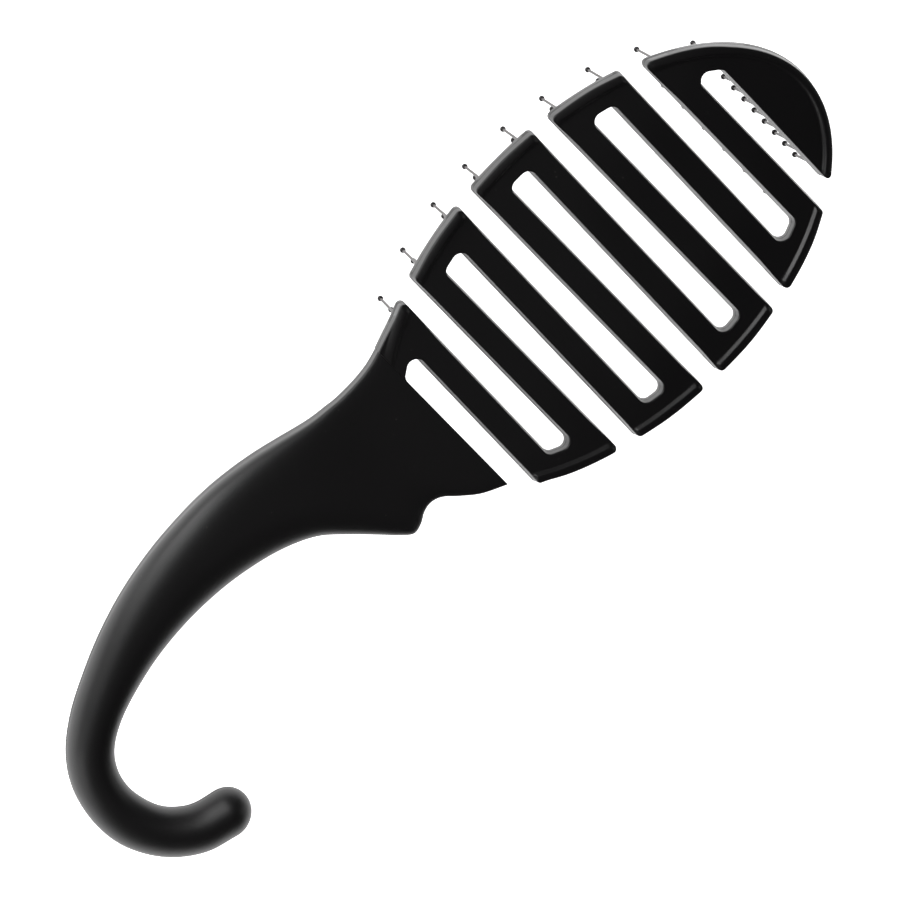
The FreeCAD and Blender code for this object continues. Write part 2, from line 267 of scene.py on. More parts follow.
# ------------------------------------------------------------------ finishes
class Slot(Enum):
    """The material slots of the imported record."""

    BACK = "soft_black"
    PIN_PLATE = "plate_black"
    PIN = "pin_nylon"
    BALL = "ball_black"


def new_group(name: str, inputs: dict[str, float], outputs: dict[str, str]) -> Tree:
    """An empty shader group with a vector input, number inputs and typed outputs.

    Args:
        name: the group's name.
        inputs: each number input with its usual value.
        outputs: each output with its socket type.

    Returns:
        The group, with its input and output nodes in place.
    """
    group = bpy.data.node_groups.new(name, "ShaderNodeTree")
    group.interface.new_socket("Place", in_out="INPUT", socket_type="NodeSocketVector")
    for word, value in inputs.items():
        socket = group.interface.new_socket(word, in_out="INPUT", socket_type="NodeSocketFloat")
        socket.default_value = value
    for word, kind in outputs.items():
        group.interface.new_socket(word, in_out="OUTPUT", socket_type=kind)
    group.nodes.new("NodeGroupInput").name = "in"
    group.nodes.new("NodeGroupOutput").name = "out"
    return group


def noise(
    tree: Tree, place, scale, detail: float, rough: float
) -> Socket:
    """A noise texture on a place socket.

    Args:
        tree: the node tree to add to.
        place: socket of the coordinates.
        scale: socket of the scale, or a number.
        detail: octaves.
        rough: how strong the fine octaves are.

    Returns:
        The noise value's socket.
    """
    node = tree.nodes.new("ShaderNodeTexNoise")
    node.inputs["Detail"].default_value = detail
    node.inputs["Roughness"].default_value = rough
    tree.links.new(place, node.inputs["Vector"])
    if isinstance(scale, (int, float)):
        node.inputs["Scale"].default_value = scale
    else:
        tree.links.new(scale, node.inputs["Scale"])
    return node.outputs["Fac"]


def remap(
    tree: Tree, value, start: tuple, end: tuple = (0.0, 1.0), smooth: bool = False
) -> Socket:
    """A Map Range node on a socket.

    Args:
        tree: the node tree to add to.
        value: socket of the number to map.
        start: the range it is read over.
        end: the range it is mapped to.
        smooth: ease in and out of both ends.

    Returns:
        The mapped number's socket.
    """
    node = tree.nodes.new("ShaderNodeMapRange")
    node.interpolation_type = "SMOOTHSTEP" if smooth else "LINEAR"
    words = ("From Min", "From Max", "To Min", "To Max")
    for word, number in zip(words, (*start, *end)):
        node.inputs[word].default_value = number
    tree.links.new(value, node.inputs["Value"])
    return node.outputs["Result"]


def combine(tree: Tree, operation: str, first, second) -> bpy.types.Node:
    """A Math node on two sockets.

    Args:
        tree: the node tree to add to.
        operation: the node's operation.
        first: socket of the first number.
        second: socket of the second number.

    Returns:
        The node itself, so that it can be clamped.
    """
    node = tree.nodes.new("ShaderNodeMath")
    node.operation = operation
    tree.links.new(first, node.inputs[0])
    tree.links.new(second, node.inputs[1])
    return node


def moulded_surface() -> Tree:
    """Shared effect: spark-eroded mould grain, with soft patches of flow in colour and gloss.

    Returns:
        The group: Height is the grain, Patch the slow drift of the moulding, and Rub the
        places that hands have polished a little.
    """
    outputs = {word: "NodeSocketFloat" for word in ("Height", "Patch", "Rub")}
    group = new_group("moulded_surface", {"Grain Scale": 3800.0, "Patch Scale": 45.0}, outputs)
    source, sink = group.nodes["in"], group.nodes["out"]
    grain = noise(group, source.outputs["Place"], source.outputs["Grain Scale"], 3.0, 0.6)
    patch = noise(group, source.outputs["Place"], source.outputs["Patch Scale"], 3.0, 0.5)
    wide = noise(group, source.outputs["Place"], 14.0, 2.0, 0.5)
    rub = remap(group, wide, (0.46, 0.68), smooth=True)
    group.links.new(grain, sink.inputs["Height"])
    group.links.new(patch, sink.inputs["Patch"])
    group.links.new(rub, sink.inputs["Rub"])
    return group


def settled_dust() -> Tree:
    """Shared effect: a sparse speckle of lint and dust, as small soft spots.

    Returns:
        The group: Mask is 1 on a speck and 0 elsewhere.
    """
    inputs = {"Speck Scale": 420.0, "Amount": 0.5}
    group = new_group("settled_dust", inputs, {"Mask": "NodeSocketFloat"})
    source, sink = group.nodes["in"], group.nodes["out"]
    cells = group.nodes.new("ShaderNodeTexVoronoi")
    group.links.new(source.outputs["Place"], cells.inputs["Vector"])
    group.links.new(source.outputs["Speck Scale"], cells.inputs["Scale"])
    spot = remap(group, cells.outputs["Distance"], (0.10, 0.03))
    where = noise(group, source.outputs["Place"], 90.0, 2.0, 0.5)
    gate = remap(group, where, (0.55, 0.70))
    both = combine(group, "MULTIPLY", spot, gate)
    scaled = combine(group, "MULTIPLY", both.outputs[0], source.outputs["Amount"])
    group.links.new(scaled.outputs[0], sink.inputs["Mask"])
    return group


@dataclass(frozen=True)
class Finish:
    """One moulded plastic finish and how it is painted with nodes."""

    name: str
    dark: tuple[float, float, float]
    light: tuple[float, float, float]
    matt: float
    polished: float
    grain_depth: float
    grain_scale: float = 3800.0
    patch_scale: float = 45.0
    speculars: float = 0.5
    sheen: float = 0.0
    coat: float = 0.0
    dust: float = 0.25
    glow_through: float = 0.0

    def make(self, surface: Tree, dust: Tree) -> bpy.types.Material:
        """Build the material.

        Args:
            surface: the shared grain and patch group.
            dust: the shared dust group.

        Returns:
            The new material.
        """
        material = bpy.data.materials.new(self.name)
        material.use_nodes = True
        tree = material.node_tree
        shader = tree.nodes["Principled BSDF"]
        place = tree.nodes.new("ShaderNodeTexCoord").outputs["Object"]
        moulded = self._group(tree, surface, place)
        moulded.inputs["Grain Scale"].default_value = self.grain_scale
        moulded.inputs["Patch Scale"].default_value = self.patch_scale
        specks = self._group(tree, dust, place)
        specks.inputs["Amount"].default_value = self.dust
        tree.links.new(self._colour(tree, moulded, specks), shader.inputs["Base Color"])
        tree.links.new(self._roughness(tree, moulded, specks), shader.inputs["Roughness"])
        bump = tree.nodes.new("ShaderNodeBump")
        bump.inputs["Strength"].default_value = 1.0
        bump.inputs["Distance"].default_value = self.grain_depth
        tree.links.new(moulded.outputs["Height"], bump.inputs["Height"])
        tree.links.new(bump.outputs["Normal"], shader.inputs["Normal"])
        numbers = {
            "Specular IOR Level": self.speculars,
            "Sheen Weight": self.sheen,
            "Sheen Roughness": 0.45,
            "Coat Weight": self.coat,
            "Coat Roughness": 0.12,
            "Subsurface Weight": self.glow_through,
        }
        for word, number in numbers.items():
            shader.inputs[word].default_value = number
        shader.inputs["Subsurface Radius"].default_value = (0.6 * MM, 0.5 * MM, 0.45 * MM)
        return material

    @staticmethod
    def _group(tree: Tree, group: Tree, place) -> bpy.types.Node:
        """Place a shared group in a material and feed it the object's coordinates."""
        node = tree.nodes.new("ShaderNodeGroup")
        node.node_tree = group
        tree.links.new(place, node.inputs["Place"])
        return node

    def _colour(self, tree: Tree, moulded: bpy.types.Node, specks: bpy.types.Node):
        """Colour drifts from dark to light with the patches, and greys a little on specks."""
        drift = tree.nodes.new("ShaderNodeMix")
        drift.data_type = "RGBA"
        drift.inputs["A"].default_value = (*self.dark, 1.0)
        drift.inputs["B"].default_value = (*self.light, 1.0)
        tree.links.new(moulded.outputs["Patch"], drift.inputs["Factor"])
        dusty = tree.nodes.new("ShaderNodeMix")
        dusty.data_type = "RGBA"
        dusty.inputs["B"].default_value = (0.20, 0.19, 0.18, 1.0)
        tree.links.new(specks.outputs["Mask"], dusty.inputs["Factor"])
        tree.links.new(drift.outputs["Result"], dusty.inputs["A"])
        return dusty.outputs["Result"]

    def _roughness(self, tree: Tree, moulded: bpy.types.Node, specks: bpy.types.Node):
        """Roughness runs from matt to polished with the rubbed places, and rises on specks."""
        rubbed = remap(tree, moulded.outputs["Rub"], (0.0, 1.0), (self.matt, self.polished))
        total = combine(tree, "ADD", rubbed, specks.outputs["Mask"])
        total.use_clamp = True
        return total.outputs[0]


FINISHES = {
    Slot.BACK: Finish("soft_touch_black", (0.0055, 0.0050, 0.0055), (0.0085, 0.0078, 0.0085),
                      matt=0.46, polished=0.36, grain_depth=0.010 * MM, sheen=0.02),
    Slot.PIN_PLATE: Finish("moulded_black", (0.0070, 0.0062, 0.0065), (0.0110, 0.0100, 0.0105),
                           matt=0.44, polished=0.34, grain_depth=0.012 * MM, grain_scale=5200.0),
    Slot.PIN: Finish("smoky_nylon", (0.030, 0.025, 0.026), (0.060, 0.050, 0.050),
                     matt=0.42, polished=0.34, grain_depth=0.003 * MM, patch_scale=160.0,
                     dust=0.1, glow_through=0.10, speculars=0.35),
    Slot.BALL: Finish("dipped_black", (0.004, 0.0035, 0.004), (0.008, 0.007, 0.008),
                      matt=0.22, polished=0.14, grain_depth=0.002 * MM, dust=0.05, speculars=0.4),
}


class Wardrobe:
    """All materials, built once, and the way to dress a piece in one."""

    def __init__(self) -> None:
        """Build the shared groups and every finish."""
        surface, dust = moulded_surface(), settled_dust()
        self.materials = {slot: finish.make(surface, dust) for slot, finish in FINISHES.items()}

    def dress(self, item: Item, slot: Slot) -> None:
        """Give a piece its material.

        Args:
            item: the piece.
            slot: the slot whose finish it takes.
        """
        item.data.materials.clear()
        item.data.materials.append(self.materials[slot])


# ------------------------------------------------------------------ the head's plan
@dataclass(frozen=True)
class Plan:
    """The head's outline, bars, slots and arch, in the design's own frame.

    Design frame: X along the head to its tip, Y across it, Z out of the back, with the crest
    of the parting arch at the origin.
    """

    origin: tuple[float, float, float]
    slot_centres: tuple[float, ...]
    half_width: float = 38.4 * MM
    tip_reach: float = 64.9 * MM
    root_reach: float = 68.3 * MM
    bar_width: float = 7.2 * MM
    middle_slot_x: float = -1.9 * MM
    bar_lean: float = 0.4
    bar_skew: float = 1.0
    web_width: float = 6.3 * MM
    slot_round: float = 2.0 * MM
    corner_round: float = 1.3 * MM
    tip_corner_round: float = 1.7 * MM
    arch_radius: float = 1150.0 * MM
    back_plate: float = 2.6 * MM
    pin_plate: float = 1.9 * MM
    rim_width: float = 3.1 * MM
    rim_rise: float = 0.6 * MM
    rim_flank: float = 1.1 * MM
    rim_shoulder: float = 0.62
    rim_dies: tuple[float, float] = (-58.0 * MM, -50.0 * MM)
    flare_from: float = -46.0 * MM
    flare_length: float = 9.0 * MM
    flare_size: float = 1.9 * MM

    @classmethod
    def from_frame(cls) -> "Plan":
        """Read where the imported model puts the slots, the middle line and the crest.

        Returns:
            The plan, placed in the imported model's frame.
        """
        joints = sorted(frame["joints"], key=lambda joint: joint["pos_m"][0])
        low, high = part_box("back_plate_5")
        middle = joints[len(joints) // 2]["pos_m"]
        origin_x = middle[0] - cls.middle_slot_x
        drop = cls.arch_radius - math.sqrt(cls.arch_radius ** 2 - (middle[0] - origin_x) ** 2)
        origin_z = middle[2] + drop - (cls.back_plate - cls.pin_plate) / 2
        centres = tuple(joint["pos_m"][0] - origin_x for joint in joints)
        return cls((origin_x, (low[1] + high[1]) / 2, origin_z), centres)

    @property
    def pitch(self) -> float:
        """Distance from one bar to the next."""
        return (self.slot_centres[-1] - self.slot_centres[0]) / (len(self.slot_centres) - 1)

    def bar_x(self, number: int) -> float:
        """X of a bar's middle; bar 0 is the root's edge and bar BARS + 1 the tip's."""
        return self.slot_centres[0] + (number - 0.5) * self.pitch

    def lean(self, number: int) -> float:
        """How far a bar leans, in degrees: by turns to either side of one common skew."""
        return self.bar_skew + (-self.bar_lean if number % 2 else self.bar_lean)

    def edge_x(self, number: int, side: int, y: Array | float) -> Array | float:
        """X of a bar's side at y.

        Args:
            number: the bar.
            side: -1 for the side towards the root, +1 towards the tip.
            y: place across the head.

        Returns:
            X of the side at each y.
        """
        slant = math.tan(math.radians(self.lean(number)))
        return self.bar_x(number) + side * self.bar_width / 2 - y * slant

    @staticmethod
    def closed_side(slot: int) -> int:
        """+1 where a slot is closed at +Y, -1 where it is closed at -Y."""
        return 1 if slot % 2 else -1

    def reach(self, x: Array) -> Array:
        """Half length of the ellipse that bounds the head at x."""
        return np.where(np.asarray(x) > 0, self.tip_reach, self.root_reach)

    def half_at(self, x: Array | float) -> Array:
        """Half width of the head at x: b times the root of 1 - (x / a)^2."""
        share = np.clip(1.0 - (np.asarray(x) / self.reach(x)) ** 2, 0.0, 1.0)
        return self.half_width * np.sqrt(share)

    def outline(self, start: float, stop: float, side: int, count: int) -> Array:
        """Points on the outline between two x places, on one side of the head.

        Args:
            start: x of the first point.
            stop: x of the last point.
            side: +1 for the +Y side, -1 for the -Y side.
            count: how many points.

        Returns:
            Points, evenly spaced by the ellipse's angle.
        """
        first = math.acos(np.clip(start / float(self.reach(start)), -1, 1))
        last = math.acos(np.clip(stop / float(self.reach(stop)), -1, 1))
        angle = np.linspace(first, last, count)
        x = np.cos(angle) * self.reach(np.cos(angle))
        return np.stack([x, side * (np.sin(angle) * self.half_width + self.flare(x))], axis=1)

    def flare(self, x: Array) -> Array:
        """How far the outline leaves the ellipse towards the neck: a power of the way there."""
        way = np.clip((self.flare_from - x) / self.flare_length, 0.0, None)
        return self.flare_size * way ** 1.5

    def edge_distance(self, x: Array, y: Array) -> Array:
        """Distance inwards from the outline: (1 - g) / |grad g|, g being the ellipse's radius."""
        reach = self.reach(x)
        radius = np.sqrt((x / reach) ** 2 + (y / self.half_width) ** 2) + 1e-9
        slope = np.hypot(x / reach ** 2, y / self.half_width ** 2) / radius + 1e-9
        return (1.0 - radius) / slope

    def rim_height(self, x: Array, y: Array) -> Array:
        """The raised bead: a sloping inner flank, a crest, and a broad shoulder down to the edge.

        The flank falls smoothly from 1 to 0 over its width; the shoulder is one minus
        k (1 - d / s)^2 where k is rim_shoulder, d the distance inwards and s the shoulder's
        width; and the bead dies out where the head runs into the neck.
        """
        inwards = np.clip(self.edge_distance(x, y), 0.0, None)
        flank = 1.0 - smooth_step(inwards, self.rim_width - self.rim_flank, self.rim_width)
        lack = 1.0 - np.clip(inwards / (self.rim_width - self.rim_flank), 0.0, 1.0)
        start = smooth_step(x, *self.rim_dies)
        return self.rim_rise * flank * (1.0 - self.rim_shoulder * lack ** 2) * start

    def arch(self, x: Array) -> Array:
        """Height of the parting arch at x, zero at its crest."""
        return np.sqrt(self.arch_radius ** 2 - x ** 2) - self.arch_radius

    def place(self, x: Array, y: Array, rise: Array) -> Array:
        """Points on or over the arch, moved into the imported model's frame.

        Args:
            x: place along the head.
            y: place across the head.
            rise: height over the parting arch.

        Returns:
            Points with a last axis of three.
        """
        x, y, rise = np.broadcast_arrays(x, y, rise)
        return np.stack([x, y, self.arch(x) + rise], axis=-1) + np.array(self.origin)


class Layer(Enum):
    """The two mouldings that lie face to face in the head."""

    BACK = "back"
    PIN_SIDE = "pin_side"


@dataclass(frozen=True)
class StripLength:
    """One length of the serpentine: bar, web and bar, as matching points on its two sides."""

    inner: Array
    outer: Array


@dataclass
class Head:
    """The serpentine head: its back moulding and its pin plate, in nine lengths each."""

    plan: Plan
    wardrobe: Wardrobe
    bar_steps: int = 22
    fan_steps: int = 40
    web_steps: int = 14
    across_steps: int = 54
    edge_round: float = 0.35 * MM
    pin_edge_round: float = 0.15 * MM
    cross_draft: float = 0.05 * MM
    long_draft: float = 0.25 * MM
    groove: float = 0.16 * MM
    draft_limit: float = 0.09
    back_draft: float = 2.1
    foot_share: float = 0.25
    bend_limit: float = 0.3
    lip_limit: float = 0.05
    tip_steps: int = 110
    tip_web_run: float = 9.0 * MM
    bead_at_wall: float = 0.25
    roll_off_from: float = 0.5 * MM
    roll_off_to: float = 1.5 * MM
    inland: float = 1.2 * MM

    def _slot_end(self, slot: int, edge_bar: int, side: int) -> tuple[float, float]:
        """Corner of a slot's closed end on one of its two sides, in (x, |y|)."""
        sign = self.plan.closed_side(slot)
        x = self.plan.edge_x(edge_bar, side, 0.0)
        for _ in range(3):
            slope = float(self.plan.half_at(x + 0.5 * MM) - self.plan.half_at(x - 0.5 * MM)) / MM
            v = float(self.plan.half_at(x)) - self.plan.web_width * math.hypot(1.0, slope)
            x = self.plan.edge_x(edge_bar, side, sign * v)
        return x, v

    def _side_points(
        self, bar: int, side: int, sign: int, low: float, high: float, count: int
    ) -> Array:
        """Points up one side of a bar, in (x, v) where v is y measured towards the web."""
        v = np.linspace(low, high, count)
        return np.stack([self.plan.edge_x(bar, side, sign * v), v], axis=1)

    def _outer_corner(self, bar: int, side: int, sign: int) -> Array:
        """Where a bar's outer side meets the outline, in (x, v)."""
        v = 0.0
        for _ in range(4):
            v = float(self.plan.half_at(self.plan.edge_x(bar, side, sign * v)))
        return np.array([self.plan.edge_x(bar, side, sign * v), v])

    def strip_length(self, left: int) -> StripLength:
        """Matching side points of the length that turns between bars left and left + 1.

        The inner side runs up one bar, round the slot's closed end and down the next.  The
        outer side runs up the bar's other side, round its free corner, along the outline and
        down.  Both are cut at the same five knots and spaced evenly between them.

        Args:
            left: the bar on the root's side of the slot.

        Returns:
            The two sides in the design frame.
        """
        slot = right = left + 1
        sign = self.plan.closed_side(slot)
        corner_a = np.array(self._slot_end(slot, left, 1))
        corner_b = np.array(self._slot_end(slot, right, -1))
        foot_a = self._side_points(left, 1, sign, 0.0, 0.0, 1)[0]
        foot_b = self._side_points(right, -1, sign, 0.0, 0.0, 1)[0]
        arc_a = rounded_corner(foot_a, corner_a, corner_b, self.plan.slot_round, self.fan_steps)
        arc_b = rounded_corner(corner_a, corner_b, foot_b, self.plan.slot_round, self.fan_steps)
        inner, outer = [], []
        up = self._rising_side(left, sign, arc_a) if left else self._root_side(arc_a)
        inner += up[0]
        outer += up[1]
        inner.append(resample(np.stack([arc_a[-1], arc_b[0]]), self.web_steps))
        outer.append(resample(self.plan.outline(arc_a[-1][0], arc_b[0][0], 1, 40), self.web_steps))
        if right < len(self.plan.slot_centres):
            down = self._rising_side(right, sign, arc_b[::-1], towards_tip=True)
        else:
            down = self._tip_side(right, sign, arc_b[::-1])
        inner += [part[::-1] for part in down[0][::-1]]
        outer += [part[::-1] for part in down[1][::-1]]
        flip = np.array([1.0, sign])
        return StripLength(self._joined(inner) * flip, self._joined(outer) * flip)

    @staticmethod
    def _joined(parts: list) -> Array:
        """Chain point runs whose ends meet, dropping each repeated point."""
        return np.concatenate([parts[0]] + [part[1:] for part in parts[1:]])

    def _rising_side(self, bar: int, sign: int, arc: Array, towards_tip: bool = False):
        """Knots from a bar's middle to the end of the slot's corner arc, on both sides."""
        inner_side = -1 if towards_tip else 1
        inner = [self._side_points(bar, inner_side, sign, 0.0, arc[0][1], self.bar_steps), arc]
        corner = self._outer_corner(bar, -inner_side, sign)
        beyond = self.plan.outline(corner[0], arc[-1][0], 1, 60)
        foot = self._side_points(bar, -inner_side, sign, 0.0, 0.0, 1)[0]
        bend = rounded_corner(foot, corner, beyond[3], self.plan.corner_round, 16)
        past = (beyond[:, 0] - bend[-1][0]) * (1 if arc[-1][0] > corner[0] else -1) > 0
        low = self._side_points(bar, -inner_side, sign, 0.0, arc[0][1], self.bar_steps)
        path = np.concatenate([low[-1:], bend, beyond[past]])
        return inner, [low, resample(path, self.fan_steps)]

    def _root_side(self, arc: Array):
        """Knots on the root's side of the first slot: the web starts at the root's edge."""
        start = self._outer_corner(0, 1, 1)
        path = self.plan.outline(start[0], arc[-1][0], 1, 40)
        return [arc], [resample(path, self.fan_steps)]

    def _tip_side(self, bar: int, sign: int, arc: Array):
        """Knots from the tip's far corner, up the slot's side and round the head's point."""
        v_low = 0.0
        for _ in range(4):
            v_low = -float(self.plan.half_at(self.plan.edge_x(bar, -1, sign * v_low)))
        corner = np.array([self.plan.edge_x(bar, -1, sign * v_low), v_low])
        mirror = np.array([1.0, -1.0])
        rim_far = self.plan.outline(corner[0], self.plan.tip_reach, 1, 160) * mirror
        rim_near = self.plan.outline(self.plan.tip_reach, arc[-1][0], 1, 200)
        foot = self._side_points(bar, -1, sign, 0.0, 0.0, 1)[0]
        bend = rounded_corner(foot, corner, rim_far[12], self.plan.tip_corner_round, 25)
        middle = len(bend) // 2
        straight = self._side_points(bar, -1, sign, 0, arc[0][1], 40)
        side = np.concatenate([bend[middle - 1::-1], straight])
        keep = rim_far[:, 0] > bend[-1][0]
        rim = np.concatenate([bend[middle + 1:], rim_far[keep], rim_near[1:]])
        knot = lengths_along(rim)[-1] - self.tip_web_run
        inner = [resample(side, self.tip_steps), arc]
        outer = [resample(rim, self.tip_steps, 0.0, knot), resample(rim, self.fan_steps, knot)]
        return inner, outer

    def _drafts(self, unit: Array, width: Array) -> tuple[Array, Array]:
        """How far a wall has drawn in at the parting line and at the back face.

        A wall that faces along the head leans by far more than one that faces across it, so
        the share is the square of the wall's own X direction.
        """
        share = unit[:, :1] ** 2
        lean = self.cross_draft + self.long_draft * share
        lower = np.minimum(lean, self.draft_limit * width)
        return lower, self.back_draft * lower

    def rings(self, length: StripLength, layer: Layer) -> Array:
        """Cross-sections of one length: wall, rounded edge, face, rounded edge, wall.

        A ring starts at the parting line on the inner side.  p is the distance across from
        the inner side, and the face's height follows the bead; an edge falls away from the
        face as a quarter circle.

        Args:
            length: the matching sides.
            layer: which of the two mouldings.

        Returns:
            Points as (station, place round the ring, 3).
        """
        across = length.outer - length.inner
        width = np.linalg.norm(across, axis=1, keepdims=True)
        unit = across / width
        at_parting, at_back = self._drafts(unit, width)
        back = layer is Layer.BACK
        foot = np.zeros_like(width)
        if back:
            foot = at_back - self.foot_share * (at_back - at_parting)
        bend = np.minimum(self.edge_round if back else self.pin_edge_round, self.bend_limit * width)
        turn = np.linspace(0.0, math.pi / 2, 6)[None, :]
        edge = foot + bend * (1 - np.cos(turn))
        fall = bend * (1 - np.sin(turn))
        share = np.linspace(0.0, 1.0, self.across_steps)[None, 1:-1]
        face = foot + bend + share * (width - 2 * (foot + bend))
        lip = at_parting + np.minimum(self.groove, self.lip_limit * width)
        zero = np.zeros_like(width)
        p = np.concatenate([lip, at_parting, edge, face, (width - edge)[:, ::-1],
                            width - at_parting, width - lip], axis=1)
        drop = np.concatenate([zero, zero, fall, face * 0, fall[:, ::-1], zero, zero], axis=1)
        x = length.inner[:, :1] + unit[:, :1] * p
        y = length.inner[:, 1:] + unit[:, 1:] * p
        if back:
            rise = self.plan.back_plate + self._bead(x, y, length) - drop
        else:
            rise = drop - self.plan.pin_plate
        start = self.groove if back else -self.groove
        rise[:, 0], rise[:, -1] = 0.0, 0.0
        rise[:, 1], rise[:, -2] = start, start
        return self.plan.place(x, y, rise)

    def _bead(self, x: Array, y: Array, length: StripLength) -> Array:
        """The bead's height, which rolls off towards a slot's wall.

        The roll-off rises smoothly from 0 at the wall to 1 at a short distance from it, taken
        to the nearest point of the strip's two sides that isn't on the outline.
        """
        sides = np.concatenate([length.inner, length.outer])
        inland = self.plan.edge_distance(sides[:, 0], sides[:, 1]) > self.inland
        walls = sides[inland]
        spots = np.stack([x, y], axis=-1)[:, :, None, :]
        nearest = np.full(x.shape, 1.0)
        for part in np.array_split(walls, max(1, len(walls) // 20)):
            away = np.linalg.norm(spots - part[None, None], axis=-1).min(axis=2)
            nearest = np.minimum(nearest, away)
        share = smooth_step(nearest, self.roll_off_from, self.roll_off_to)
        kept = self.bead_at_wall + (1.0 - self.bead_at_wall) * share
        return self.plan.rim_height(x, y) * kept

    def build(self) -> list[Item]:
        """Make and dress every length of both mouldings.

        Returns:
            The pieces, root first.
        """
        made = []
        for left in range(len(self.plan.slot_centres)):
            length = self.strip_length(left)
            word = "tip" if left == BARS else str(left + 1)
            start, stop = self._turn_span(left)
            for layer in Layer:
                back = layer is Layer.BACK
                piece = tube_object("%s_length_%s" % (layer.value, word), self.rings(length, layer))
                self.wardrobe.dress(piece, Slot.BACK if back else Slot.PIN_PLATE)
                nodes = ["pin_plate_" + word]
                if back:
                    nodes = ["back_plate_" + word, "flex_web_%d" % (left + 1)]
                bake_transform(piece)
                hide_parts(*nodes)
                made.append(piece)
        return made

    def _turn_span(self, left: int) -> tuple[Vector, Vector]:
        """The two places on either side of a length's slot, on the parting arch."""
        ends = [self.plan.edge_x(left, 1, 0.0), self.plan.edge_x(left + 1, -1, 0.0)]
        places = [self.plan.place(np.array(x), np.array(0.0), np.array(0.0)) for x in ends]
        return Vector(places[0]), Vector(places[1])


